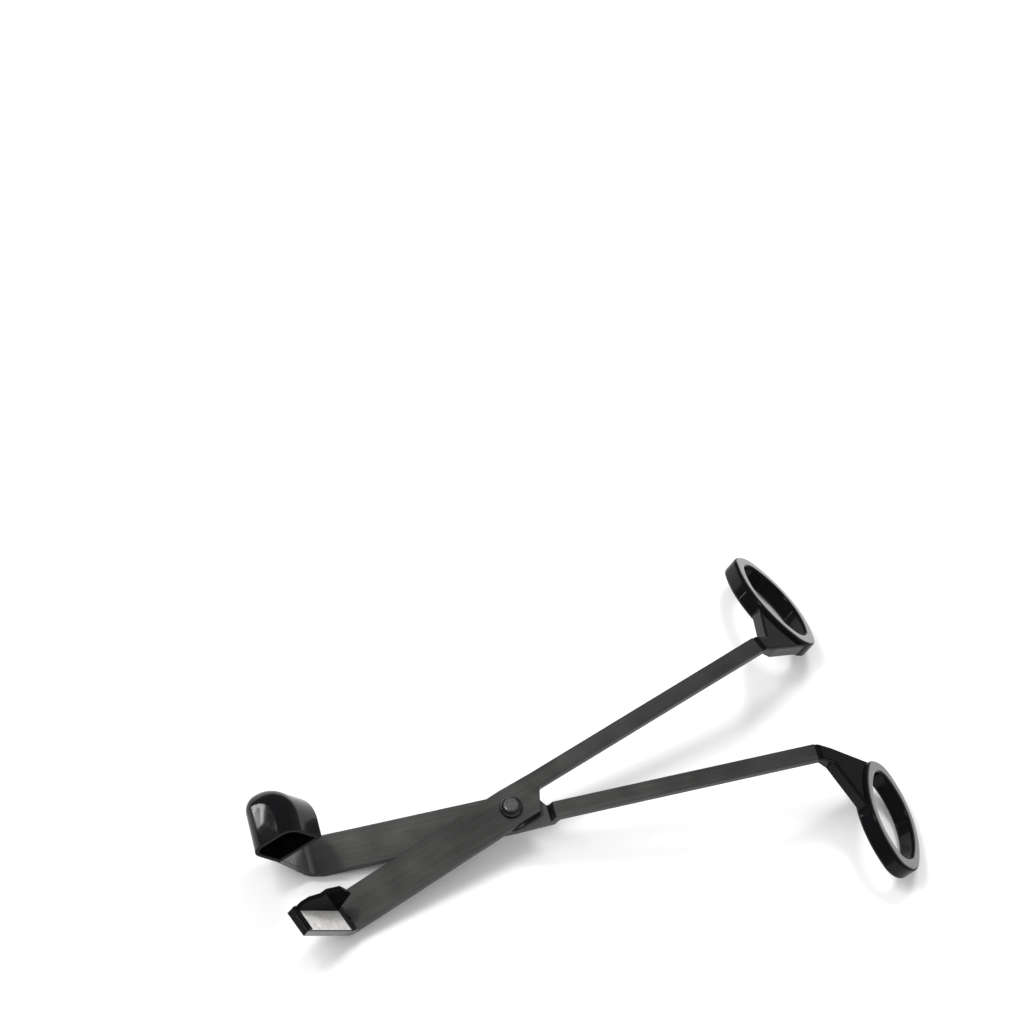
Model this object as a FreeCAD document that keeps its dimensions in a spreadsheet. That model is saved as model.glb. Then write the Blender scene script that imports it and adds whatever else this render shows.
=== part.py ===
import FreeCAD, Part
import math
import os
import Sketcher

# Candle wick trimmer and snuffer. Two flat steel halves cross at a pivot.
# Frame: origin on the pivot axis at the nut's outer face, +X along the bisector
# of the handles towards the finger rings, +Y across the tool towards the front
# half's handle, +Z along the pivot towards the screw's domed head.
# Every length is in millimetres and every angle in degrees.

DIMENSIONS = {
    # sheet metal of both halves
    "plate": 1.8,            # thickness of the sheet
    "gap": 0.3,              # space between the halves, held by the friction washer
    "bend_radius": 2.0,      # inside radius of a fold
    # how far the tool stands open
    "half_open": 10.2,       # each handle's angle from the bisector
    # strap handles
    "strap_width": 4.7,
    "strap_offset": 3.2,     # strap's centre line from the pivot
    "strap_end": 81.5,       # pivot to the end of the bare strap
    # blades
    "blade_in": 5.8,         # pivot to the cutting-side edge
    "blade_out": 5.0,        # pivot to the outer edge
    "front_toe": 1.6,        # front blade's turn away from its strap
    "rear_toe": 0.0,
    "jaw_neck": 3.0,         # the blade starts to narrow this far before its fold
    "shoulder_near": 5.9,    # shoulder behind the pivot, at the outer edge
    "shoulder_far": 9.6,     # shoulder behind the pivot, at the strap
    "shoulder_fillet": 1.2,
    # step behind the pivot that brings the rear strap level with the front one
    "joggle_start": 9.4,
    "joggle_run": 1.5,
    # jaws, folded to the front
    "jaw_bend": 50.7,
    "front_fold": 52.8,      # pivot to the front jaw's fold
    "rear_fold": 53.9,       # pivot to the rear jaw's fold
    "front_jaw": 20.6,       # fold to tip
    "rear_jaw": 18.0,
    "front_waist": 1.0,      # the front jaw is at its own width this far past the fold
    "rear_waist": 9.0,
    "rear_tongue": 9.0,      # width of the steel under the hood
    # tray on the front jaw
    "tray_width": 7.6,
    "tray_in": 1.1,          # tray's cutting-side edge from the pivot line
    "tray_floor": 0.5,
    "tray_start": 1.6,       # the tray begins this far past the fold
    "lip": 0.5,              # height of the tray's end lip
    "lip_width": 1.0,
    # upright press plate on the tray, heights above the tray's floor
    "press_thick": 1.2,
    "press_low": 2.0,        # at the tip
    "press_curve_along": 1.6,
    "press_curve_high": 4.0,
    "press_step_along": 5.2,
    "press_step_low": 5.4,   # step in the top edge
    "press_step_high": 7.0,
    "press_step_run": 0.8,
    "press_crest_along": 10.7,
    "press_high": 8.2,
    "press_heel": 1.5,       # the end by the fold slopes over this length
    "press_heel_high": 6.6,
    # snuffer hood on the rear jaw
    "hood_tip": 24.8,        # rear fold to the hood's tip
    "hood_length": 11.9,     # along the jaw
    "hood_width": 15.6,      # across the jaw
    "hood_height": 14.9,
    "hood_radius": 10.4,     # round roof
    "hood_foot": 4.4,        # rounding of the edge below the roof, away from the mouth
    "hood_wall": 1.1,
    "hood_mouth": 4.9,       # mouth from the pivot line
    "hood_over": 1.5,        # the mouth stands this far past the tongue's edge
    "hood_soft": 4.2,        # rounding of the hood's tip edge
    # finger rings, folded to the back
    "ring_bend": 46.0,
    "ring_corner": 82.6,     # pivot to the fold line of the ring's neck
    "ring_along": 23.4,      # fold line to the ring's centre
    "ring_across": 15.1,     # strap's centre line to the ring's centre
    "ring_long": 16.6,       # outer half length of the oval
    "ring_short": 9.2,       # outer half width of the oval
    "ring_end_radius": 5.8,  # outer radius of the oval's two ends
    "hole_end_radius": 3.2,
    "ring_wall_ends": 3.7,
    "ring_wall_sides": 2.6,
    "ring_depth": 5.2,
    "ring_soft": 0.8,        # rounding of the ring's edges
    "rim_rise": 1.0,         # the ring's front face stands this far in front of its neck
    "neck_thick_at": 5.5,    # where the neck reaches the web's depth
    "web_depth": 3.3,        # thickness of the web that spreads from neck to ring
    "web_reach": 13.8,       # strap's centre line to where the web meets the ring's side
    "web_sink": 0.5,         # the web ends this deep inside the ring's wall
    "neck_soft": 0.6,        # rounding of the neck's and web's long front edges
    # pivot
    "shank_radius": 1.8,
    "running_fit": 0.05,     # radial clearance of whatever turns on the shank
    "head_radius": 3.1,
    "head_height": 2.0,
    "head_round": 1.8,
    "friction_radius": 5.0,  # washer between the halves
    "friction_plate": 0.25,
    "spring_radius": 3.6,    # washer under the nut
    "spring_plate": 0.35,
    "axial_play": 0.03,      # between the rear half and the spring washer
    "nut_across_flats": 5.5,
    "nut_height": 2.2,
    "nut_chamfer": 0.4,
}

SHEET = "Dimensions"

# heights are drawn from the front half's back face, then every body is raised
BACK_OF_SPRING = "-gap - plate - axial_play - spring_plate"
BACK_OF_NUT = BACK_OF_SPRING + " - nut_height"
RAISE = "-(%s)" % BACK_OF_NUT

# outline sizes that only have to reach past the metal
CUT_MARGIN = "5"
STRIP_WIDTH = "50"

doc = FreeCAD.newDocument("wick_trimmer")


def make_sheet():
    """Put every driving dimension in a spreadsheet cell with an alias."""
    sheet = doc.addObject("Spreadsheet::Sheet", SHEET)
    for row, (alias, value) in enumerate(DIMENSIONS.items(), start=1):
        sheet.set("A%d" % row, alias)
        sheet.set("B%d" % row, str(value))
        sheet.setAlias("B%d" % row, alias)
    doc.recompute()
    return sheet


def dim(text):
    """Turn 'plate + gap' into 'Dimensions.plate + Dimensions.gap'."""
    words = []
    word = ""
    for letter in text + " ":
        if letter.isalnum() or letter in "_.":
            word += letter
            continue
        words.append(SHEET + "." + word if word in DIMENSIONS else word)
        words.append(letter)
        word = ""
    return "".join(words).strip()


def bind(thing, prop, text):
    """Tie one property to an expression in the sheet's dimensions."""
    thing.setExpression(prop, dim(text))


def make_body(label):
    body = doc.addObject("PartDesign::Body", label)
    body.Label = label
    return body


def origin_plane(body, role):
    for feature in body.Origin.OriginFeatures:
        if feature.Role == role:
            return feature
    raise RuntimeError("no plane called " + role)


def make_sketch(body, name, role, lift="0"):
    """A sketch on one of the body's own planes, lifted along its normal."""
    sketch = body.newObject("Sketcher::SketchObject", name)
    sketch.AttachmentSupport = [(origin_plane(body, role), "")]
    sketch.MapMode = "FlatFace"
    bind(sketch, "AttachmentOffset.Base.z", lift)
    return sketch


def pin_point(sketch, curve, end, across, up):
    """Hold one end of a curve at an expression-driven place."""
    for kind, text in (("DistanceX", across), ("DistanceY", up)):
        value = float(sketch.evalExpression(dim(text)))
        number = sketch.addConstraint(Sketcher.Constraint(kind, -1, 1, curve, end, value))
        bind(sketch, "Constraints[%d]" % number, text)


def polygon(sketch, corners):
    """A closed outline whose corners are pairs of expressions."""
    places = []
    for across, up in corners:
        x = float(sketch.evalExpression(dim(across)))
        y = float(sketch.evalExpression(dim(up)))
        places.append(FreeCAD.Vector(x, y, 0))
    first = sketch.GeometryCount
    count = len(places)
    for i in range(count):
        sketch.addGeometry(Part.LineSegment(places[i], places[(i + 1) % count]))
    for i in range(count):
        following = first + (i + 1) % count
        sketch.addConstraint(Sketcher.Constraint("Coincident", first + i, 2, following, 1))
    for i, (across, up) in enumerate(corners):
        pin_point(sketch, first + i, 1, across, up)


def rectangle(sketch, left, bottom, right, top):
    polygon(sketch, [(left, bottom), (right, bottom), (right, top), (left, top)])


def circle(sketch, radius):
    """A circle about the sketch's origin."""
    value = float(sketch.evalExpression(dim(radius)))
    curve = sketch.addGeometry(Part.Circle(FreeCAD.Vector(), FreeCAD.Vector(0, 0, 1), value))
    sketch.addConstraint(Sketcher.Constraint("Coincident", curve, 3, -1, 1))
    number = sketch.addConstraint(Sketcher.Constraint("Radius", curve, value))
    bind(sketch, "Constraints[%d]" % number, radius)


def upright_oval(sketch, across, up, half_width, half_height, end_radius):
    """A four-arc oval with its long axis upright: round ends joined by flatter sides."""
    side_text = ("((({tall}) - {end}) ^ 2 + ({wide}) ^ 2 - {end} ^ 2) / (2 * (({wide}) - {end}))"
                 .format(tall=half_height, wide=half_width, end=end_radius))
    x, y, wide, tall, end, side = (
        float(sketch.evalExpression(dim(text)))
        for text in (across, up, half_width, half_height, end_radius, side_text)
    )
    lean = math.atan2(tall - end, side - wide)
    normal = FreeCAD.Vector(0, 0, 1)
    plan = [
        (FreeCAD.Vector(x - side + wide, y, 0), side, -lean, lean),
        (FreeCAD.Vector(x, y + tall - end, 0), end, lean, math.pi - lean),
        (FreeCAD.Vector(x + side - wide, y, 0), side, math.pi - lean, math.pi + lean),
        (FreeCAD.Vector(x, y - tall + end, 0), end, math.pi + lean, 2 * math.pi - lean),
    ]
    arcs = [
        sketch.addGeometry(Part.ArcOfCircle(Part.Circle(centre, normal, radius), start, stop))
        for centre, radius, start, stop in plan
    ]
    for i, arc in enumerate(arcs):
        sketch.addConstraint(Sketcher.Constraint("Tangent", arc, 2, arcs[(i + 1) % 4], 1))
    for arc, sign in ((arcs[1], "+"), (arcs[3], "-")):
        place = "%s %s ((%s) - %s)" % (up, sign, half_height, end_radius)
        pin_point(sketch, arc, 3, across, place)
    for arc, text, radius in zip(arcs, (side_text, end_radius) * 2, (side, end) * 2):
        number = sketch.addConstraint(Sketcher.Constraint("Radius", arc, radius))
        bind(sketch, "Constraints[%d]" % number, text)


def pad(body, sketch, length, both_ways=False):
    feature = body.newObject("PartDesign::Pad", sketch.Name + "_pad")
    feature.Profile = sketch
    feature.Midplane = both_ways
    bind(feature, "Length", length)
    doc.recompute()
    return feature


def pocket(body, sketch, depth):
    feature = body.newObject("PartDesign::Pocket", sketch.Name + "_pocket")
    feature.Profile = sketch
    bind(feature, "Length", depth)
    doc.recompute()
    return feature


def edges_where(shape, wanted):
    """Names of the edges whose middle and direction satisfy a test."""
    names = []
    for number, edge in enumerate(shape.Edges, start=1):
        middle = edge.valueAt((edge.FirstParameter + edge.LastParameter) / 2)
        straight = isinstance(edge.Curve, (Part.Line, Part.LineSegment))
        direction = edge.tangentAt(edge.FirstParameter) if straight else None
        if wanted(middle, direction):
            names.append("Edge%d" % number)
    return names


def faces_where(shape, wanted):
    """Names of the faces whose middle and outward normal satisfy a test."""
    names = []
    for number, face in enumerate(shape.Faces, start=1):
        if wanted(face.CenterOfMass, face.normalAt(0, 0)):
            names.append("Face%d" % number)
    return names


def fillet(body, base, names, radius, name):
    feature = body.newObject("PartDesign::Fillet", name)
    feature.Base = (base, names)
    bind(feature, "Radius", radius)
    doc.recompute()
    return feature


def corner_fillet(body, base, x, z, radius, name):
    """Round the edge that runs across the tool at a place in the side view."""
    at_x = float(body.evalExpression(dim(x)))
    at_z = float(body.evalExpression(dim(z)))

    def runs_across(middle, direction):
        if direction is None or abs(direction.y) < 0.99:
            return False
        return abs(middle.x - at_x) < 0.05 and abs(middle.z - at_z) < 0.05

    return fillet(body, base, edges_where(base.Shape, runs_across), radius, name)


def place_on_half(body, side, base="0;0;0", tilt="0"):
    """Place a sub-part on the front half (side 1) or the rear half (side -1)."""
    bind(body, "Placement",
         "placement(vector(0;0;%s); rotation(vector(0;0;1); %d * half_open))"
         " * placement(vector(%s); rotation(vector(0;1;0); %s))" % (RAISE, side, base, tilt))


def jaw_side(fold, jaw, front, back):
    """Side-view corners of a jaw, from its front fold round the tip to its back fold."""
    return [
        ("-%s" % fold, front),
        ("-%s - %s * cos(jaw_bend)" % (fold, jaw),
         "%s + %s * sin(jaw_bend)" % (front, jaw)),
        ("-%s - %s * cos(jaw_bend) - plate * sin(jaw_bend)" % (fold, jaw),
         "%s + %s * sin(jaw_bend) - plate * cos(jaw_bend)" % (front, jaw)),
        ("-%s - plate * tan(jaw_bend / 2)" % fold, back),
    ]


def cut_outline(body, side, fold, jaw, toe, jaw_from, jaw_in, jaw_out):
    """Cut the folded strip to the plan outline of one half."""
    sketch = make_sketch(body, body.Name + "_outline", "XY_Plane", "front_jaw + rear_jaw")
    far_left = "-%s - %s - %s" % (fold, jaw, CUT_MARGIN)
    far_right = "strap_end + %s" % CUT_MARGIN
    rectangle(sketch, "%s - %s" % (far_left, CUT_MARGIN), "-" + STRIP_WIDTH,
              "%s + %s" % (far_right, CUT_MARGIN), STRIP_WIDTH)
    neck_in = "-%s + jaw_neck" % fold
    toe_drop = "(%s) * tan(%s)" % (neck_in, toe)
    plan = [
        (far_right, "strap_offset - strap_width / 2"),
        (far_right, "strap_offset + strap_width / 2"),
        ("shoulder_far", "strap_offset + strap_width / 2"),
        ("0", "blade_in"),
        (neck_in, "blade_in + " + toe_drop),
        (jaw_from, jaw_in),
        (far_left, jaw_in),
        (far_left, jaw_out),
        (jaw_from, jaw_out),
        (neck_in, "-blade_out + " + toe_drop),
        ("0", "-blade_out"),
        ("shoulder_near", "-blade_out"),
        ("shoulder_far", "strap_offset - strap_width / 2"),
    ]
    polygon(sketch, [(across, "%d * (%s)" % (side, up)) for across, up in plan])
    return pocket(body, sketch, "2 * (front_jaw + rear_jaw)")


def round_shoulder(body, base, side):
    """Round the inside corner where the wide plate meets the strap."""
    at_x = float(body.evalExpression(dim("shoulder_far")))
    at_y = side * float(body.evalExpression(dim("strap_offset - strap_width / 2")))

    def stands_there(middle, direction):
        if direction is None or abs(direction.z) < 0.99:
            return False
        return abs(middle.x - at_x) < 0.05 and abs(middle.y - at_y) < 0.05

    names = edges_where(base.Shape, stands_there)
    return fillet(body, base, names, "shoulder_fillet", body.Name + "_shoulder")


def bore_pivot(body, radius):
    sketch = make_sketch(body, body.Name + "_bore", "XY_Plane", "plate + " + CUT_MARGIN)
    circle(sketch, radius)
    return pocket(body, sketch, "2 * (plate + gap + %s)" % CUT_MARGIN)


def make_front_arm():
    body = make_body("front_arm")
    side_view = make_sketch(body, "front_arm_side", "XZ_Plane")
    polygon(side_view, [("strap_end", "0"), ("strap_end", "plate")]
            + jaw_side("front_fold", "front_jaw", "plate", "0"))
    strip = pad(body, side_view, STRIP_WIDTH, both_ways=True)
    inside = corner_fillet(body, strip, "-front_fold", "plate", "bend_radius", "front_arm_fold_in")
    corner_fillet(body, inside, "-front_fold - plate * tan(jaw_bend / 2)", "0",
                  "bend_radius + plate", "front_arm_fold_out")
    outline = cut_outline(body, 1, "front_fold", "front_jaw", "front_toe",
                          "-front_fold - front_waist", "tray_in", "tray_in - tray_width")
    round_shoulder(body, outline, 1)
    bore_pivot(body, "shank_radius")
    place_on_half(body, 1)


def make_rear_arm():
    body = make_body("rear_arm")
    slant = "plate * tan(atan((plate + gap) / joggle_run) / 2)"
    side_view = make_sketch(body, "rear_arm_side", "XZ_Plane")
    corners = [
        ("strap_end", "0"),
        ("strap_end", "plate"),
        ("joggle_start + joggle_run", "plate"),
        ("joggle_start", "-gap"),
    ]
    corners += jaw_side("rear_fold", "rear_jaw", "-gap", "-gap - plate")
    corners += [
        ("joggle_start + " + slant, "-gap - plate"),
        ("joggle_start + joggle_run + " + slant, "0"),
    ]
    polygon(side_view, corners)
    strip = pad(body, side_view, STRIP_WIDTH, both_ways=True)
    inside = corner_fillet(body, strip, "-rear_fold", "-gap", "bend_radius", "rear_arm_fold_in")
    corner_fillet(body, inside, "-rear_fold - plate * tan(jaw_bend / 2)", "-gap - plate",
                  "bend_radius + plate", "rear_arm_fold_out")
    tongue_in = "hood_mouth - hood_over"
    outline = cut_outline(body, -1, "rear_fold", "rear_jaw", "rear_toe",
                          "-rear_fold - rear_waist", tongue_in, tongue_in + " - rear_tongue")
    round_shoulder(body, outline, -1)
    bore_pivot(body, "shank_radius + running_fit")
    place_on_half(body, -1)


def make_finger_ring(label, side):
    """An oval finger ring and the neck that joins it to the strap's end."""
    body = make_body(label)
    stub = "(ring_corner - strap_end)"
    neck_side = make_sketch(body, label + "_neck_side", "XZ_Plane")
    polygon(neck_side, [
        ("-%s * cos(ring_bend)" % stub, "-%s * sin(ring_bend)" % stub),
        ("0", "0"),
        ("neck_thick_at", "0"),
        ("neck_thick_at", "-web_depth"),
        ("-%s * cos(ring_bend) + plate * sin(ring_bend)" % stub,
         "-%s * sin(ring_bend) - plate * cos(ring_bend)" % stub),
    ])
    neck = pad(body, neck_side, "strap_width", both_ways=True)
    corner_fillet(body, neck, "0", "0", "bend_radius", label + "_fold")

    gusset = make_sketch(body, label + "_gusset", "XY_Plane", "-web_depth")
    web = [
        ("neck_thick_at", "-strap_width / 2"),
        ("ring_along", "ring_across - ring_long + web_sink"),
        ("ring_along", "ring_across - ring_long + ring_wall_ends - web_sink"),
        ("ring_along - ring_short + web_sink", "web_reach"),
        ("neck_thick_at", "strap_width / 2"),
    ]
    polygon(gusset, [(along, "%d * (%s)" % (side, across)) for along, across in web])
    stem = pad(body, gusset, "web_depth")

    def along_the_front(middle, direction):
        straight = direction is not None and abs(direction.y) < 0.99
        return straight and abs(middle.z) < 0.01

    long_edges = edges_where(stem.Shape, along_the_front)
    fillet(body, stem, long_edges, "neck_soft", label + "_stem_soft")

    rim = make_sketch(body, label + "_rim", "XY_Plane", "rim_rise - ring_depth")
    upright_oval(rim, "ring_along", "%d * ring_across" % side, "ring_short", "ring_long",
                 "ring_end_radius")
    pad(body, rim, "ring_depth")

    hole = make_sketch(body, label + "_hole", "XY_Plane", "rim_rise")
    upright_oval(hole, "ring_along", "%d * ring_across" % side,
                 "ring_short - ring_wall_sides", "ring_long - ring_wall_ends",
                 "hole_end_radius")
    holed = pocket(body, hole, "ring_depth")

    front = float(body.evalExpression(dim("rim_rise")))
    back = float(body.evalExpression(dim("rim_rise - ring_depth")))

    def on_a_rim(middle, direction):
        return min(abs(middle.z - front), abs(middle.z - back)) < 0.01

    fillet(body, holed, edges_where(holed.Shape, on_a_rim), "ring_soft", label + "_soft")
    place_on_half(body, side, "ring_corner;%d * strap_offset;plate" % side, "ring_bend")


def make_wick_tray():
    """The floor plate of the front jaw, with a low lip at its tip."""
    body = make_body("wick_tray")
    floor = make_sketch(body, "wick_tray_floor", "XY_Plane")
    rectangle(floor, "-front_jaw", "tray_in - tray_width", "-tray_start", "tray_in")
    pad(body, floor, "tray_floor")
    lip = make_sketch(body, "wick_tray_lip", "XY_Plane")
    rectangle(lip, "-front_jaw", "tray_in - tray_width", "-front_jaw + lip_width", "tray_in")
    pad(body, lip, "tray_floor + lip")
    place_on_half(body, 1, "-front_fold;0;plate", "jaw_bend")


def make_press_plate():
    """The wall that stands along the tray's cutting-side edge."""
    body = make_body("press_plate")
    profile = make_sketch(body, "press_plate_profile", "XZ_Plane", "-tray_in")
    tip = "-front_jaw + lip_width"
    top_edge = [
        (tip, "press_low"),
        (tip + " + press_curve_along", "press_curve_high"),
        (tip + " + press_step_along", "press_step_low"),
        (tip + " + press_step_along + press_step_run", "press_step_high"),
        (tip + " + press_crest_along", "press_high"),
        ("-tray_start - press_heel", "press_heel_high"),
    ]
    corners = [(tip, "tray_floor")]
    corners += [(along, "tray_floor + " + high) for along, high in top_edge]
    corners += [("-tray_start", "tray_floor")]
    polygon(profile, corners)
    pad(body, profile, "press_thick")
    place_on_half(body, 1, "-front_fold;0;plate", "jaw_bend")


def make_snuffer_hood():
    """A box with a round roof and foot that opens towards the front jaw."""
    body = make_body("snuffer_hood")
    section = make_sketch(body, "snuffer_hood_section", "YZ_Plane", "-hood_tip")
    rectangle(section, "-hood_mouth", "0", "-hood_mouth + hood_width", "hood_height")
    block = pad(body, section, "hood_length")
    width = float(body.evalExpression(dim("-hood_mouth + hood_width")))
    height = float(body.evalExpression(dim("hood_height")))

    def far_corner(level):
        """The edges that run along the jaw on the side away from the mouth."""
        def test(middle, direction):
            if direction is None or abs(direction.x) < 0.99:
                return False
            return abs(middle.y - width) < 0.05 and abs(middle.z - level) < 0.05
        return test

    top_edge = edges_where(block.Shape, far_corner(height))
    roof = fillet(body, block, top_edge, "hood_radius", "hood_roof")
    foot_edge = edges_where(roof.Shape, far_corner(0))
    foot = fillet(body, roof, foot_edge, "hood_foot", "hood_foot_soft")
    tip = float(body.evalExpression(dim("-hood_tip")))
    mouth = float(body.evalExpression(dim("-hood_mouth")))

    def tip_rim(middle, direction):
        on_tip = abs(middle.x - tip) < 0.05
        return on_tip and middle.z > 0.05 and middle.y > mouth + 0.05

    soft = fillet(body, foot, edges_where(foot.Shape, tip_rim), "hood_soft", "hood_tip_soft")
    shell = body.newObject("PartDesign::Thickness", "hood_shell")
    shell.Base = (soft, faces_where(soft.Shape, lambda middle, normal: normal.y < -0.99))
    shell.Reversed = True
    shell.Join = "Intersection"
    bind(shell, "Value", "hood_wall")
    doc.recompute()
    place_on_half(body, -1, "-rear_fold;0;-gap", "jaw_bend")


def make_pivot_screw():
    """Domed head in front and a plain shank through both halves."""
    body = make_body("pivot_screw")
    profile = make_sketch(body, "pivot_screw_half", "XZ_Plane")
    polygon(profile, [
        ("0", BACK_OF_NUT),
        ("shank_radius", BACK_OF_NUT),
        ("shank_radius", "plate"),
        ("head_radius", "plate"),
        ("head_radius", "plate + head_height"),
        ("0", "plate + head_height"),
    ])
    turned = body.newObject("PartDesign::Revolution", "pivot_screw_turned")
    turned.Profile = profile
    turned.ReferenceAxis = (profile, ["V_Axis"])
    turned.Angle = 360
    doc.recompute()
    top = float(body.evalExpression(dim("plate + head_height")))
    names = edges_where(turned.Shape, lambda middle, direction: abs(middle.z - top) < 0.01)
    fillet(body, turned, names, "head_round", "pivot_screw_dome")
    place_on_half(body, 1)


def make_washer(label, radius, thickness, bottom):
    body = make_body(label)
    disc = make_sketch(body, label + "_disc", "XY_Plane", bottom)
    circle(disc, radius)
    circle(disc, "shank_radius + running_fit")
    pad(body, disc, thickness)
    place_on_half(body, 1)


def make_pivot_nut():
    """The hexagon nut behind the halves."""
    body = make_body("pivot_nut")
    hexagon = make_sketch(body, "pivot_nut_hexagon", "XY_Plane", BACK_OF_NUT)
    corner = "nut_across_flats / 2 / cos(30)"
    polygon(hexagon, [
        ("%s * cos(%d)" % (corner, 60 * i), "%s * sin(%d)" % (corner, 60 * i)) for i in range(6)
    ])
    circle(hexagon, "shank_radius")
    solid = pad(body, hexagon, "nut_height")
    bottom = float(body.evalExpression(dim(BACK_OF_NUT)))

    def on_back_corner(middle, direction):
        return direction is not None and abs(middle.z - bottom) < 0.01

    chamfer = body.newObject("PartDesign::Chamfer", "pivot_nut_chamfer")
    chamfer.Base = (solid, edges_where(solid.Shape, on_back_corner))
    bind(chamfer, "Size", "nut_chamfer")
    place_on_half(body, 1)


make_sheet()
make_front_arm()
make_rear_arm()
make_finger_ring("front_finger_ring", 1)
make_finger_ring("rear_finger_ring", -1)
make_wick_tray()
make_press_plate()
make_snuffer_hood()
make_pivot_screw()
make_washer("friction_washer", "friction_radius", "friction_plate", "-friction_plate")
make_washer("spring_washer", "spring_radius", "spring_plate", BACK_OF_SPRING)
make_pivot_nut()
doc.recompute()

os.makedirs("parts", exist_ok=True)
for thing in doc.Objects:
    if "Invalid" in thing.State or "Error" in thing.State:
        raise RuntimeError("%s did not recompute: %s" % (thing.Name, thing.State))
for body in doc.findObjects("PartDesign::Body"):
    if body.Shape.isNull() or not body.Shape.isValid():
        raise RuntimeError("%s has no valid shape" % body.Label)
    body.Shape.exportStep("parts/%s.step" % body.Label)
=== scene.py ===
import math

import bpy
import numpy as np
from mathutils import Matrix, Vector


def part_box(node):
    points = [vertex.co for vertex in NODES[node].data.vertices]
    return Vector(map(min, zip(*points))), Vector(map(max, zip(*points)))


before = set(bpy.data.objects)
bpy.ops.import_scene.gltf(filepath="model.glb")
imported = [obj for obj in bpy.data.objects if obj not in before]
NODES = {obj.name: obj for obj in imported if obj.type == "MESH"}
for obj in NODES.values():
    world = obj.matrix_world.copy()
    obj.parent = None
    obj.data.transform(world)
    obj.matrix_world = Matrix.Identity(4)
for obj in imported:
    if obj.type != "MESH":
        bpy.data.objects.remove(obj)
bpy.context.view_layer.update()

# Visual model of a candle wick trimmer and snuffer, in metres, round the CAD frame.

MM = 0.001

# camera: azimuth and elevation about the pivot, and how the picture is framed
VIEW_AZIMUTH = math.radians(-24.0)
VIEW_ELEVATION = math.radians(59.2)
VIEW_DISTANCE = 1.014
VIEW_WIDTH = 0.2662
VIEW_RIGHT = 0.0003
VIEW_RISE = 0.0777
SENSOR = 36.0

FLOOR_RADIUS = 1.6
FLOOR_STEPS = 96
FADE_FROM = 0.22        # the floor starts to fade into the white background here
FADE_TO = 0.45
GLINT_DISTANCE = 0.9

# the surroundings: their brightness for soft light, and for mirror reflections from the dim
# side to the bright side
SOFT_STRENGTH = 0.75
MIRROR_DIM = 0.20
MIRROR_BRIGHT = 0.5
MIRROR_AXIS = (0.80, -0.60, 0.10)

# colours, each as a dark and a pale end between which a finish is mottled
STEEL = ((0.165, 0.165, 0.156), (0.285, 0.285, 0.270))
ENAMEL = ((0.0022, 0.0022, 0.0026), (0.0050, 0.0050, 0.0058))
# painted reflection: the pale colour of the tray's inner floor, standing in for the white floor
# mirrored there
TRAY_PAINTED_REFLECTION = ((0.60, 0.59, 0.57), (0.90, 0.89, 0.87))
PLATED = ((0.006, 0.006, 0.007), (0.014, 0.014, 0.015))
# painted highlight: the greyer colour put on the forward faces of the screw head and the nut
SCREW_PAINTED_HIGHLIGHT = ((0.10, 0.10, 0.10), (0.17, 0.17, 0.165))
NYLON = ((0.62, 0.60, 0.54), (0.76, 0.74, 0.68))
SPRING = ((0.28, 0.27, 0.26), (0.46, 0.45, 0.43))
PALE_FLOOR = ((0.86, 0.86, 0.87), (0.89, 0.89, 0.90))
ENAMEL_WORN = (0.020, 0.020, 0.021)
PLATED_WORN = (0.030, 0.030, 0.029)

# painted shade: share of the steel's dark colour that is left on its edges and on its sides, which
# are painted darker
STEEL_EDGE_SHADE = 0.5
STEEL_SIDE_SHADE = 0.3

# how glossy the enamel is, part by part
WALL_GLOSS = 0.22
NECK_GLOSS = 0.04
HOOD_GLOSS = 0.35
MOUTH_GLOSS = 0.08
PRESS_GLOSS = 0.05
TRAY_GLOSS = 0.2
SLIGHT_WEAR = 0.1

LIP_WIDTH = 1.0 * MM    # the painted reflection on the tray's floor starts this far behind its tip
LIP_FADE = 1.25 * MM


# ---------------------------------------------------------------- measuring

def points_of(node):
    """The vertices of a CAD node as an array."""
    mesh = NODES[node].data
    flat = np.zeros(len(mesh.vertices) * 3, np.float32)
    mesh.vertices.foreach_get("co", flat)
    return flat.reshape(-1, 3).astype(float)


def biggest_facing(node, accept):
    """Area-weighted normal of the faces that pass a test, for finding how a part is turned."""
    total = Vector()
    for face in NODES[node].data.polygons:
        if accept(face.normal, face.center):
            total += face.normal * face.area
    return total.normalized()


def strap_turn(node, side):
    """How far a strap is turned about the pivot axis, from the normal of its long edge."""
    normal = biggest_facing(
        node, lambda n, c: abs(n.z) < 0.05 and c.x > 0.02 and n.y * side > 0.9
    )
    return math.atan2(-normal.x * side, normal.y * side)


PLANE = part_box("front_arm")[0].z
FRONT_TURN = strap_turn("front_arm", 1)
REAR_TURN = strap_turn("rear_arm", -1)
TRAY_UP = biggest_facing("wick_tray", lambda n, c: n.z > 0.5 and n.x > 0.5)
RIM_DEPTH = 0.5 * MM    # a rim's front face stands further than this in front of its neck


# ---------------------------------------------------------------- node shorthand

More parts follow.
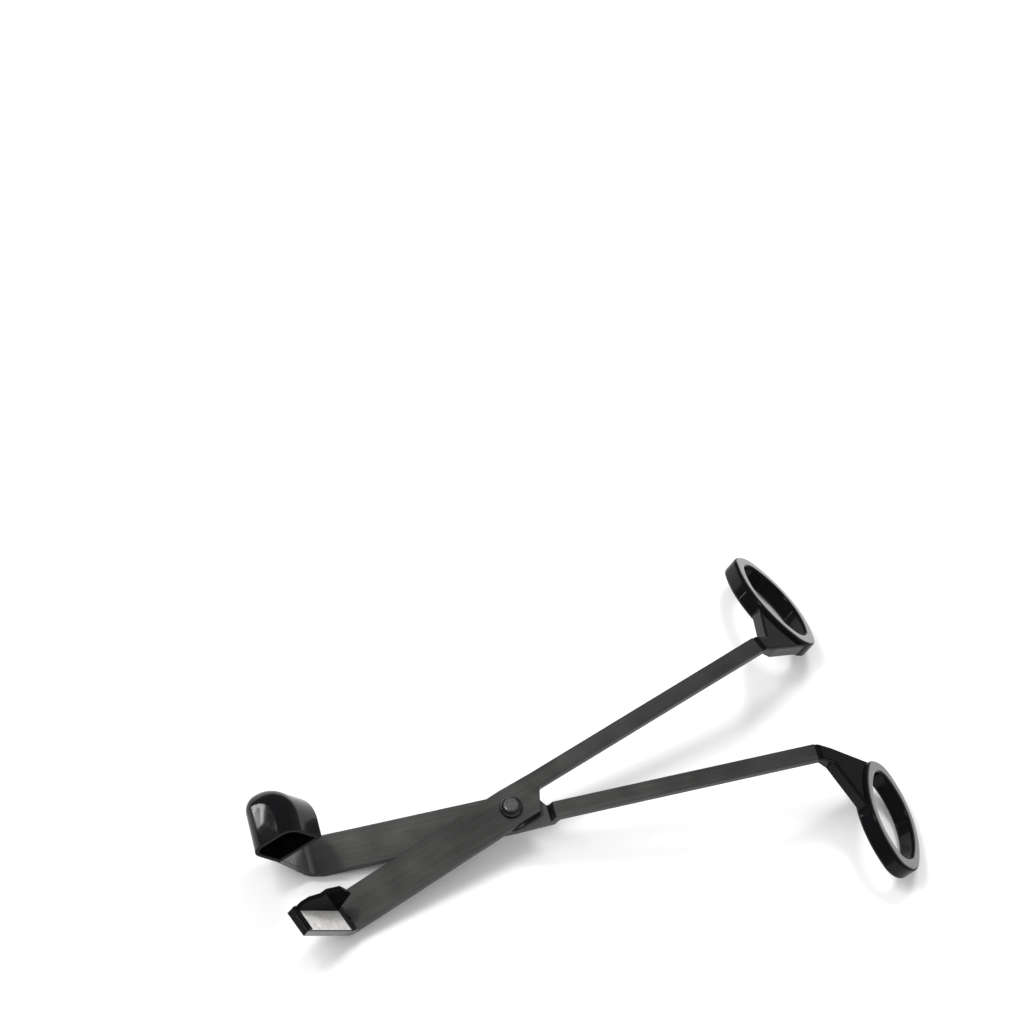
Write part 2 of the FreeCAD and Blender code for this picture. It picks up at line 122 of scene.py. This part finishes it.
class Shader:
    """Builds one node material; every call returns an output socket."""

    def __init__(self, name):
        self.material = bpy.data.materials.new(name)
        self.material.use_nodes = True
        self.tree = self.material.node_tree
        self.tree.nodes.clear()
        self.output = self.tree.nodes.new("ShaderNodeOutputMaterial")

    def add(self, kind, settings=None, **inputs):
        node = self.tree.nodes.new(kind)
        for key, value in (settings or {}).items():
            setattr(node, key, value)
        for key, value in inputs.items():
            self.feed(node.inputs[key.replace("_", " ")], value)
        return node

    def feed(self, socket, value):
        if isinstance(value, bpy.types.NodeSocket):
            self.tree.links.new(value, socket)
        elif isinstance(value, (tuple, list)) and len(value) == 3 and socket.type == "RGBA":
            socket.default_value = (*value, 1.0)
        else:
            socket.default_value = value

    def math(self, operation, a, b=0.0):
        node = self.add("ShaderNodeMath", {"operation": operation})
        self.feed(node.inputs[0], a)
        self.feed(node.inputs[1], b)
        return node.outputs[0]

    def along(self, vector, direction):
        """Distance of a point along a direction."""
        node = self.add("ShaderNodeVectorMath", {"operation": "DOT_PRODUCT"})
        self.feed(node.inputs[0], vector)
        self.feed(node.inputs[1], tuple(direction))
        return node.outputs["Value"]

    def ramp(self, value, low, high, low_to=0.0, high_to=1.0, smooth=False):
        node = self.add("ShaderNodeMapRange",
                        {"interpolation_type": "SMOOTHSTEP" if smooth else "LINEAR"})
        for key, given in (("Value", value), ("From Min", low), ("From Max", high),
                           ("To Min", low_to), ("To Max", high_to)):
            self.feed(node.inputs[key], given)
        return node.outputs["Result"]

    def mix(self, share, a, b):
        node = self.add("ShaderNodeMix", {"data_type": "RGBA"})
        self.feed(node.inputs[0], share)
        self.feed(node.inputs[6], a)
        self.feed(node.inputs[7], b)
        return node.outputs[2]

    def noise(self, vector, scale, detail=2.0, roughness=0.5):
        node = self.add("ShaderNodeTexNoise", {}, Vector=vector, Scale=scale,
                        Detail=detail, Roughness=roughness)
        return node.outputs["Fac"]

    def millimetres(self, turn=0.0, stretch=(1.0, 1.0, 1.0)):
        """Rest position in millimetres, turned about Z so that X runs along a strap."""
        place = self.add("ShaderNodeTexCoord").outputs["Object"]
        turned = self.add("ShaderNodeMapping", {"vector_type": "POINT"}, Vector=place,
                          Rotation=(0.0, 0.0, -turn), Scale=(1 / MM, 1 / MM, 1 / MM))
        if stretch == (1.0, 1.0, 1.0):
            return turned.outputs[0]
        return self.add("ShaderNodeMapping", {"vector_type": "POINT"},
                        Vector=turned.outputs[0], Scale=stretch).outputs[0]

    def bump(self, height, depth, strength=1.0, normal=None):
        node = self.add("ShaderNodeBump", {}, Height=height, Distance=depth, Strength=strength)
        if normal is not None:
            self.feed(node.inputs["Normal"], normal)
        return node.outputs[0]

    def edge(self, radius, sharpness=1.0):
        """Softened normal near edges, and a mask that is 1 on an edge."""
        rounded = self.add("ShaderNodeBevel", {"samples": 4}, Radius=radius).outputs[0]
        true = self.add("ShaderNodeNewGeometry").outputs["Normal"]
        node = self.add("ShaderNodeVectorMath", {"operation": "DOT_PRODUCT"})
        self.feed(node.inputs[0], rounded)
        self.feed(node.inputs[1], true)
        return rounded, self.ramp(node.outputs["Value"], 0.98, 0.80, 0.0, sharpness)

    def principled(self, **inputs):
        return self.add("ShaderNodeBsdfPrincipled", {}, **inputs).outputs[0]

    def blend(self, share, a, b):
        node = self.add("ShaderNodeMixShader")
        self.feed(node.inputs[0], share)
        self.feed(node.inputs[1], a)
        self.feed(node.inputs[2], b)
        return node.outputs[0]

    def finish(self, surface):
        self.feed(self.output.inputs["Surface"], surface)
        return self.material


# ---------------------------------------------------------------- finishes

def scaled(colour, share):
    """A colour with every channel multiplied, and none above 1."""
    return tuple(min(1.0, channel * share) for channel in colour)


def steel_surface(s, turn):
    """Satin gunmetal, brushed along the strap, with handling marks, softened edges, and painted
    shade on its edges and sides.
    """
    fine = s.noise(s.millimetres(turn, (0.05, 7.0, 7.0)), 1.0, 3.0, 0.6)
    broad = s.noise(s.millimetres(turn, (0.03, 1.6, 1.6)), 1.0, 2.0)
    cloud = s.noise(s.millimetres(turn), 0.09, 3.0, 0.55)
    smear = s.noise(s.millimetres(turn, (0.5, 1.0, 1.0)), 0.35, 4.0, 0.6)
    lines = s.math("ADD", s.math("MULTIPLY", fine, 0.6), s.math("MULTIPLY", broad, 0.4))
    shade = s.math("ADD", s.math("MULTIPLY", lines, 0.5), s.math("MULTIPLY", cloud, 0.5))
    colour = s.mix(s.ramp(shade, 0.35, 0.65), *STEEL)
    rounded, edge = s.edge(0.25 * MM, 0.5)
    # painted shade: the edges are darkened
    colour = s.mix(edge, colour, scaled(STEEL[0], STEEL_EDGE_SHADE))
    # painted shade: faces that look neither up nor down, the strap's sides, are darkened
    upright = s.math("ABSOLUTE", s.along(s.add("ShaderNodeNewGeometry").outputs["Normal"],
                                         (0.0, 0.0, 1.0)))
    colour = s.mix(s.ramp(upright, 0.25, 0.55), scaled(STEEL[0], STEEL_SIDE_SHADE), colour)
    roughness = s.math("ADD", s.ramp(lines, 0.3, 0.7, 0.30, 0.42),
                       s.ramp(smear, 0.4, 0.7, -0.03, 0.06))
    normal = s.bump(lines, 0.012 * MM, 0.6, rounded)
    return s.principled(Base_Color=colour, Metallic=1.0, Roughness=roughness,
                        Anisotropic=0.35, Normal=normal)


def enamel_surface(s, wear=0.25, gloss=1.0, polish=0.0, peel_depth=0.35, dusty_rough=0.12):
    """Black enamel with a slight orange peel, faint dust and rubbed edges.

    Gloss is how strongly it reflects, and polish from 0 to 1 makes that stronger still.
    """
    place = s.millimetres()
    peel = s.noise(place, 0.55, 2.0, 0.4)
    ripple = s.noise(place, 0.16, 1.0, 0.3)
    dust = s.noise(place, 3.5, 2.0, 0.7)
    cloud = s.noise(place, 0.12, 3.0, 0.55)
    rounded, edge = s.edge(0.35 * MM, wear)
    height = s.math("ADD", s.math("MULTIPLY", peel, peel_depth), ripple)
    normal = s.bump(height, 0.05 * MM, 0.5, rounded)
    colour = s.mix(cloud, *ENAMEL)
    colour = s.mix(edge, colour, ENAMEL_WORN)
    roughness = s.math("ADD", s.ramp(cloud, 0.35, 0.65, 0.10, 0.17),
                       s.ramp(dust, 0.55, 0.80, 0.0, 0.10))
    coat_rough = s.ramp(dust, 0.50, 0.80, 0.035, dusty_rough)
    return s.principled(Base_Color=colour, Roughness=roughness, IOR=1.5,
                        Specular_IOR_Level=s.math("MULTIPLY", gloss, 0.2),
                        Coat_Weight=gloss, Coat_Roughness=coat_rough,
                        Coat_IOR=s.ramp(polish, 0.0, 1.0, 1.5, 2.1),
                        Coat_Normal=normal, Normal=normal)


def arm_material(name, turn, black_from, black_to):
    """Steel that turns to black enamel between two places along its strap, in millimetres."""
    s = Shader(name)
    along = s.add("ShaderNodeSeparateXYZ", {}, Vector=s.millimetres(turn)).outputs[0]
    ragged = s.noise(s.millimetres(turn), 0.6, 2.0)
    place = s.math("ADD", along, s.ramp(ragged, 0.3, 0.7, -0.25, 0.25))
    share = s.ramp(place, black_from, black_to)
    return s.finish(s.blend(share, steel_surface(s, turn), enamel_surface(s)))


def press_material(name):
    """Enamel that is nearly dull."""
    s = Shader(name)
    return s.finish(enamel_surface(s, SLIGHT_WEAR, PRESS_GLOSS))


def hood_material(name):
    """Smooth enamel, glossy outside and dull on the rim of the mouth."""
    s = Shader(name)
    mouth = Vector((math.sin(REAR_TURN), -math.cos(REAR_TURN), 0.0))
    facing = s.along(s.add("ShaderNodeNewGeometry").outputs["Normal"], mouth)
    gloss = s.ramp(facing, 0.90, 0.98, HOOD_GLOSS, MOUTH_GLOSS)
    return s.finish(enamel_surface(s, SLIGHT_WEAR, gloss, peel_depth=0.03, dusty_rough=0.05))


def ring_material(name, node):
    """Polished on the rim's front face and duller on its walls, the neck and the web."""
    s = Shader(name)
    front = biggest_facing(node, lambda n, c: n.z > 0.5 and n.x > 0.4)
    rim_level = float((points_of(node) @ np.array(front)).max())
    level = s.along(s.add("ShaderNodeTexCoord").outputs["Object"], front)
    facing = s.along(s.add("ShaderNodeNewGeometry").outputs["Normal"], front)
    on_rim = s.ramp(level, rim_level - RIM_DEPTH, rim_level - 0.8 * RIM_DEPTH)
    rim_front = s.math("MULTIPLY", on_rim, s.ramp(facing, 0.75, 0.95))
    behind = s.math("MULTIPLY", s.math("SUBTRACT", 1.0, on_rim), s.ramp(facing, 0.75, 0.95))
    quiet = s.ramp(behind, 0.0, 1.0, WALL_GLOSS, NECK_GLOSS)
    gloss = s.math("MAXIMUM", quiet, rim_front)
    return s.finish(enamel_surface(s, SLIGHT_WEAR, gloss, rim_front))


def tray_material(name):
    """Enamelled underneath and on its lip, with a pale painted reflection of the white floor on its
    floor inside.
    """
    s = Shader(name)
    place = s.add("ShaderNodeTexCoord").outputs["Object"]
    facing = s.along(s.add("ShaderNodeNewGeometry").outputs["Normal"], TRAY_UP)
    across = Vector((-math.sin(FRONT_TURN), math.cos(FRONT_TURN), 0.0))
    jaw = across.cross(TRAY_UP)
    reach = points_of("wick_tray") @ np.array(jaw)
    tip = reach.max() if abs(reach.max()) > abs(reach.min()) else reach.min()
    from_tip = s.math("ABSOLUTE", s.math("SUBTRACT", s.along(place, jaw), float(tip)))
    # painted reflection: upward faces behind the lip are given the pale colour in place of the
    # white floor's reflection
    reflection_area = s.math("MULTIPLY", s.ramp(facing, 0.90, 0.97), s.ramp(from_tip, LIP_WIDTH, LIP_FADE))
    mottle = s.noise(s.millimetres(FRONT_TURN), 0.9, 4.0, 0.65)
    scratch = s.noise(s.millimetres(FRONT_TURN, (0.25, 5.0, 5.0)), 1.0, 3.0)
    colour = s.mix(s.ramp(mottle, 0.3, 0.7), *TRAY_PAINTED_REFLECTION)
    normal = s.bump(s.math("ADD", mottle, scratch), 0.02 * MM, 0.5)
    reflection_surface = s.principled(Base_Color=colour, Metallic=0.25,
                         Roughness=s.ramp(scratch, 0.3, 0.7, 0.36, 0.52), Normal=normal)
    return s.finish(s.blend(reflection_area, enamel_surface(s, SLIGHT_WEAR, TRAY_GLOSS), reflection_surface))


def plated_material(name):
    """Black plated steel with turning marks about the pivot axis, and a greyer painted highlight on
    the faces that look straight forward.
    """
    s = Shader(name)
    place = s.millimetres()
    parts = s.add("ShaderNodeSeparateXYZ", {}, Vector=place)
    radius = s.math("SQRT", s.math("ADD", s.math("MULTIPLY", parts.outputs[0], parts.outputs[0]),
                                   s.math("MULTIPLY", parts.outputs[1], parts.outputs[1])))
    rings = s.math("SINE", s.math("MULTIPLY", radius, 40.0))
    speck = s.noise(place, 2.5, 3.0, 0.6)
    rounded, edge = s.edge(0.15 * MM, 0.5)
    colour = s.mix(s.ramp(speck, 0.35, 0.65), *PLATED)
    upright = s.along(s.add("ShaderNodeNewGeometry").outputs["Normal"], (0.0, 0.0, 1.0))
    # painted highlight: faces that look straight forward are made greyer, standing in for the
    # reflection on the screw's dome
    crown_painted_highlight = s.mix(s.ramp(speck, 0.35, 0.65), *SCREW_PAINTED_HIGHLIGHT)
    colour = s.mix(s.ramp(upright, 0.90, 0.985), colour, crown_painted_highlight)
    colour = s.mix(edge, colour, PLATED_WORN)
    normal = s.bump(s.math("ADD", s.math("MULTIPLY", rings, 0.3), speck), 0.006 * MM, 0.6, rounded)
    return s.finish(s.principled(
        Base_Color=colour, Metallic=0.6, Roughness=s.ramp(speck, 0.3, 0.7, 0.16, 0.30),
        Coat_Weight=0.6, Coat_Roughness=0.08, Normal=normal))


def washer_material(name, colours, metallic, rough_low, rough_high):
    """Fine-grained plastic or steel with paler edges."""
    s = Shader(name)
    place = s.millimetres()
    grain = s.noise(place, 3.0, 4.0, 0.6)
    cloud = s.noise(place, 0.5, 3.0)
    rounded, edge = s.edge(0.05 * MM, 0.5)
    colour = s.mix(s.ramp(cloud, 0.3, 0.7), *colours)
    colour = s.mix(edge, colour, scaled(colours[1], 1.2))
    normal = s.bump(grain, 0.01 * MM, 0.5, rounded)
    return s.finish(s.principled(Base_Color=colour, Metallic=metallic, Normal=normal,
                                 Roughness=s.ramp(grain, 0.3, 0.7, rough_low, rough_high)))


def fold_place(node, turn):
    """Where a blade stops being flat, in millimetres along its strap."""
    points = points_of(node)
    along = points[:, 0] * math.cos(turn) + points[:, 1] * math.sin(turn)
    level = points[:, 2].min()
    return float(along[points[:, 2] < level + 0.01 * MM].min()) / MM


FRONT_FOLD = fold_place("front_arm", FRONT_TURN)
REAR_FOLD = fold_place("rear_arm", REAR_TURN)

FINISHES = {
    "front_arm": arm_material("front_steel", FRONT_TURN, FRONT_FOLD + 0.4, FRONT_FOLD),
    "rear_arm": arm_material("rear_steel", REAR_TURN, REAR_FOLD - 4.0, REAR_FOLD - 5.5),
    "front_finger_ring": ring_material("front_ring_enamel", "front_finger_ring"),
    "rear_finger_ring": ring_material("rear_ring_enamel", "rear_finger_ring"),
    "wick_tray": tray_material("tray_enamel"),
    "press_plate": press_material("press_enamel"),
    "snuffer_hood": hood_material("hood_enamel"),
    "pivot_screw": plated_material("screw_steel"),
    "pivot_nut": plated_material("nut_steel"),
    "friction_washer": washer_material("friction_plastic", NYLON, 0.0, 0.45, 0.60),
    "spring_washer": washer_material("spring_steel", SPRING, 1.0, 0.25, 0.40),
}


def paint(node, material):
    """Gives a CAD node its one material."""
    target = NODES[node]
    target.data.materials.clear()
    target.data.materials.append(material)


for node, material in FINISHES.items():
    paint(node, material)


# ---------------------------------------------------------------- floor

def floor_plane():
    """Slope along X and height at the origin of the plane that the lowest points rest on."""
    rings = np.vstack([points_of("front_finger_ring"), points_of("rear_finger_ring")])
    backs = np.vstack([points_of(n) for n in ("front_arm", "rear_arm", "pivot_nut", "pivot_screw")])
    slope = 0.0
    for _ in range(6):
        low_ring = rings[np.argmin(rings[:, 2] - slope * rings[:, 0])]
        low_back = backs[np.argmin(backs[:, 2] - slope * backs[:, 0])]
        slope = (low_ring[2] - low_back[2]) / (low_ring[0] - low_back[0])
    return slope, low_ring[2] - slope * low_ring[0]


def floor_material():
    """Pale and matte, see-through from below and, to the camera only, far from the tool."""
    s = Shader("pale_floor")
    place = s.add("ShaderNodeTexCoord").outputs["Object"]
    grain = s.noise(place, 900.0, 3.0, 0.6)
    cloud = s.noise(place, 6.0, 2.0)
    colour = s.mix(cloud, *PALE_FLOOR)
    matte = s.principled(Base_Color=colour, Roughness=0.75, IOR=1.3,
                         Normal=s.bump(grain, 0.02 * MM, 0.3))
    see_through = s.add("ShaderNodeBsdfTransparent").outputs[0]
    below = s.add("ShaderNodeNewGeometry").outputs["Backfacing"]
    reach = s.add("ShaderNodeVectorMath", {"operation": "LENGTH"})
    s.feed(reach.inputs[0], place)
    far = s.ramp(reach.outputs["Value"], FADE_FROM, FADE_TO, smooth=True)
    faded = s.math("MULTIPLY", far, s.add("ShaderNodeLightPath").outputs["Is Camera Ray"])
    return s.finish(s.blend(s.math("MAXIMUM", below, faded), matte, see_through))


def make_floor():
    """A round floor, sloped so that the tool lies on it."""
    slope, height = floor_plane()
    angles = [2 * math.pi * i / FLOOR_STEPS for i in range(FLOOR_STEPS)]
    rim = [Vector((math.cos(angle), math.sin(angle), 0)) * FLOOR_RADIUS for angle in angles]
    for point in rim:
        point.z = height + slope * point.x
    mesh = bpy.data.meshes.new("floor")
    mesh.from_pydata([(0, 0, height)] + [tuple(p) for p in rim], [],
                     [(0, i + 1, (i + 1) % FLOOR_STEPS + 1) for i in range(FLOOR_STEPS)])
    mesh.materials.append(floor_material())
    floor = bpy.data.objects.new("floor", mesh)
    bpy.context.scene.collection.objects.link(floor)


make_floor()


# ---------------------------------------------------------------- where the camera stands

def camera_turn():
    """The camera's right, up and backward directions."""
    across = Vector((math.cos(VIEW_AZIMUTH), math.sin(VIEW_AZIMUTH), 0.0))
    back = Vector((
        math.sin(VIEW_AZIMUTH) * math.cos(VIEW_ELEVATION),
        -math.cos(VIEW_AZIMUTH) * math.cos(VIEW_ELEVATION),
        math.sin(VIEW_ELEVATION),
    ))
    return across, back.cross(across), back


def camera_place():
    """Where the camera stands, so that the pivot falls where the framing puts it."""
    across, up, back = camera_turn()
    pivot = Vector((0.0, 0.0, PLANE))
    return pivot + across * VIEW_RIGHT + up * VIEW_RISE + back * VIEW_DISTANCE


# ---------------------------------------------------------------- light

def make_world():
    """White to the camera, soft grey to everything else, darker for mirror reflections."""
    world = bpy.data.worlds.new("studio")
    bpy.context.scene.world = world
    world.use_nodes = True
    tree = world.node_tree
    tree.nodes.clear()
    out = tree.nodes.new("ShaderNodeOutputWorld")
    ray = tree.nodes.new("ShaderNodeLightPath")
    direction = tree.nodes.new("ShaderNodeTexCoord").outputs["Generated"]

    def background(colour, strength):
        node = tree.nodes.new("ShaderNodeBackground")
        node.inputs["Color"].default_value = (*colour, 1.0)
        node.inputs["Strength"].default_value = strength
        return node

    def choose(share, a, b):
        node = tree.nodes.new("ShaderNodeMixShader")
        tree.links.new(share, node.inputs[0])
        tree.links.new(a.outputs[0], node.inputs[1])
        tree.links.new(b.outputs[0], node.inputs[2])
        return node

    mirrored = background((0.96, 0.97, 1.0), 1.0)
    axis = tree.nodes.new("ShaderNodeVectorMath")
    axis.operation = "DOT_PRODUCT"
    tree.links.new(direction, axis.inputs[0])
    axis.inputs[1].default_value = Vector(MIRROR_AXIS).normalized()
    fall = tree.nodes.new("ShaderNodeMapRange")
    fall.interpolation_type = "SMOOTHSTEP"
    tree.links.new(axis.outputs["Value"], fall.inputs["Value"])
    for key, value in (("From Min", 0.1), ("From Max", 1.0),
                       ("To Min", MIRROR_DIM), ("To Max", MIRROR_BRIGHT)):
        fall.inputs[key].default_value = value
    tree.links.new(fall.outputs["Result"], mirrored.inputs["Strength"])

    soft = background((1.0, 1.0, 1.0), SOFT_STRENGTH)
    white = background((1.0, 1.0, 1.0), 1.0)
    unseen = choose(ray.outputs["Is Glossy Ray"], soft, mirrored)
    seen = choose(ray.outputs["Is Camera Ray"], unseen, white)
    tree.links.new(seen.outputs[0], out.inputs["Surface"])
    world.cycles.sampling_method = "NONE"


def softbox(name, place, aim, width, height, power, mirrored=True):
    """A rectangular soft light that the camera itself doesn't see.

    Without mirrored it doesn't show in reflections either.
    """
    light = bpy.data.lights.new(name, "AREA")
    light.shape = "RECTANGLE"
    light.size = width
    light.size_y = height
    light.energy = power
    thing = bpy.data.objects.new(name, light)
    bpy.context.scene.collection.objects.link(thing)
    thing.location = place
    thing.rotation_mode = "QUATERNION"
    thing.rotation_quaternion = (Vector(aim) - Vector(place)).to_track_quat("-Z", "Y")
    thing.visible_camera = False
    thing.visible_glossy = mirrored


def glint(name, node, accept, width, height, radiance):
    """A small light placed so that the camera sees its mirror image in chosen faces."""
    faces = [f for f in NODES[node].data.polygons if accept(f.normal, f.center)]
    area = sum(f.area for f in faces)
    centre = sum((f.center * f.area for f in faces), Vector()) / area
    normal = sum((f.normal * f.area for f in faces), Vector()).normalized()
    view = (camera_place() - centre).normalized()
    mirrored = normal * (2 * normal.dot(view)) - view
    power = radiance * math.pi * width * height
    softbox(name, centre + mirrored * GLINT_DISTANCE, centre, width, height, power)


def on_hood_tip(normal, centre):
    """Whether a face of the hood is part of the end that faces up and away from the pivot."""
    return normal.z > 0.7 and normal.x < -0.55


make_world()
softbox("key", (0.62, 0.62, 1.0), (0.03, 0.0, 0.0),
        width=0.35, height=0.35, power=7.0, mirrored=False)
softbox("roof", (-0.30, 0.35, 1.20), (-0.05, 0.0, 0.0), width=0.16, height=0.16, power=1.5)
glint("hood_glint", "snuffer_hood", on_hood_tip, width=0.010, height=0.004, radiance=40.0)
softbox("fill", (-0.5, 0.4, 1.1), (0.0, 0.0, 0.0),
        width=0.7, height=0.7, power=9.0, mirrored=False)


# ---------------------------------------------------------------- camera

def make_camera():
    across, up, back = camera_turn()
    data = bpy.data.cameras.new("camera")
    data.sensor_width = SENSOR
    data.lens = SENSOR * VIEW_DISTANCE / VIEW_WIDTH
    camera = bpy.data.objects.new("camera", data)
    bpy.context.scene.collection.objects.link(camera)
    turn = Matrix((across, up, back)).transposed().to_4x4()
    camera.matrix_world = Matrix.Translation(camera_place()) @ turn
    bpy.context.scene.camera = camera


make_camera()
bpy.context.scene.view_settings.view_transform = "Standard"
